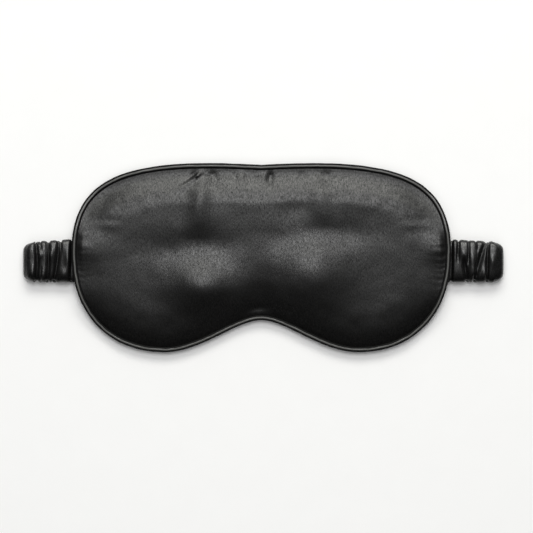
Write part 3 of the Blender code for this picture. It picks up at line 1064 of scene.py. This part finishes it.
def nearestStep(path, onTop, x):
    middle = (strap["sideLevel"] + strap["rearLevel"]) / 2
    chosen = np.where((path[:, 1] > middle) == onTop)[0]
    return int(chosen[np.argmin(np.abs(path[chosen, 0] - x))])

def strapSide(word, side):
    rings = strapRings(word, side)
    path = rings[0]
    run = strap["foldX"] / 4
    shift = turnX[word] - strap["hingeTurn"]
    cuts = [0, nearestStep(path, True, strap["sideCut"]), int(np.argmax(path[:, 0])),
            *(nearestStep(path, False, strap["foldX"] - run * (k + 0.5)) for k in range(3)),
            len(path) - 1]
    high, low = strap["sideLevel"], strap["rearLevel"]
    # piece, bodies before and after its hinge, x and z where the bend starts and ends, and the
    # lengths whose tube and band it replaces
    plans = [
        ("seam", "", "side", (105.3 * mm, high), (109.9 * mm, high), ["strap_end"], ["side"]),
        ("turn_out", "side", "fold", (128.6 * mm + shift, 5.2 * mm),
         (131.0 * mm + shift, 4.0 * mm), ["side"], ["side"]),
        ("turn_in", "fold", "rear_1", (131.0 * mm + shift, 3.4 * mm),
         (128.6 * mm + shift, 2.2 * mm), ["fold", "rear_1"], ["fold", "rear_1"]),
    ]
    for k in (1, 2, 3):
        x, after = strap["foldX"] - run * k, f"rear_{k + 1}"
        plans.append((f"back_{k}", f"rear_{k}", after, (x + 4 * mm, low), (x - 4 * mm, low),
                      [after], [after]))
    for plan, first, last in zip(plans, cuts, cuts[1:]):
        part, before, after, start, end, casings, bands = plan
        tube = tubePiece(f"{word}_ruched_{part}", rings, first, last)
        band = elasticPiece(f"{word}_elastic_{part}", path, side, first, last)
        for thing, nodes, slot in ((tube, [f"{word}_{c}" for c in casings], "ruched_satin"),
                                   (band, [f"{word}_{b}_elastic" for b in bands], "elastic_web")):
            side * start[0]
            side * end[0]
            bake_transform(thing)
            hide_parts(*nodes)

strapSide("left", -1)
strapSide("right", 1)
print("strap made")

studio = {
    "floor": 0.93,
    "floorSize": 3.0,
    "floorRoughness": 0.9,
    "floorShine": 0.1,
    "worldDark": 0.03,
    "worldLight": 0.45,
    "cameraHeight": 1.5,
    "sensorWidth": 36.0,
    "fieldWidth": 295.7 * mm,
    "fieldLevel": 8 * mm,  # the field is this wide at this height
    "aim": (2.9 * mm, -4.9 * mm),
}

lamps = {  # place, size, power, colour and whether it gives highlights
    "key": ((0.07, 1.68, 1.5), (1.6, 0.8), 28.5, (1.0, 1.0, 0.95), True),
    "softbox": ((0.0, 0.55, 1.62), (0.7, 0.6), 10.5, (1.0, 1.0, 1.0), True),
    "fill": ((0.0, -0.5, 1.9), (2.4, 2.4), 13.2, (1.0, 1.0, 1.0), False),
}

def makeFloor():
    size = studio["floorSize"]
    made, nodes, shader = newMaterial("paleTable")
    grain = noiseAt(nodes, placeIn(nodes, "Object"), 60, 2.0)
    level = studio["floor"]
    nodes.link(mixColours(nodes, grain, grey(level - 0.01), grey(level + 0.01)),
               shader.inputs["Base Color"])
    shader.inputs["Roughness"].default_value = studio["floorRoughness"]
    shader.inputs["Specular IOR Level"].default_value = studio["floorShine"]
    corners = [(-size, -size, 0), (size, -size, 0), (size, size, 0), (-size, size, 0)]
    meshObject("table", corners, [[0, 1, 2, 3]], made)

def makeWorld():
    world = bpy.data.worlds.new("studio")
    scene.world = world
    world.use_nodes = True
    nodes = Nodes(world.node_tree)
    ahead = axisOf(nodes, placeIn(nodes, "Generated"), 1)
    share = nodes.add("ShaderNodeMapRange", {"interpolation_type": "SMOOTHSTEP"},
                      {"Value": ahead, "From Min": -0.2, "From Max": 0.9,
                       "To Min": studio["worldDark"], "To Max": studio["worldLight"]})
    back = world.node_tree.nodes["Background"]
    back.inputs["Color"].default_value = (1.0, 1.0, 0.99, 1.0)
    nodes.link(share, back.inputs["Strength"])

def areaLight(name, place, size, power, colour, glossy):
    lamp = bpy.data.lights.new(name, "AREA")
    lamp.shape = "RECTANGLE"
    lamp.size, lamp.size_y = size
    lamp.energy = power
    lamp.color = colour
    thing = inScene(name, lamp)
    thing.location = place
    thing.rotation_euler = (-Vector(place)).to_track_quat("-Z", "Y").to_euler()
    thing.visible_glossy = glossy

def makeCamera():
    lens = bpy.data.cameras.new("camera")
    lens.sensor_width = studio["sensorWidth"]
    above = studio["cameraHeight"] - studio["fieldLevel"]
    lens.lens = studio["sensorWidth"] * above / studio["fieldWidth"]
    thing = inScene("camera", lens)
    thing.location = (*studio["aim"], studio["cameraHeight"])
    scene.camera = thing

makeFloor()
makeWorld()
for lampName, values in lamps.items():
    areaLight(lampName, *values)
makeCamera()
scene.view_settings.view_transform = "Standard"
print("studio made")
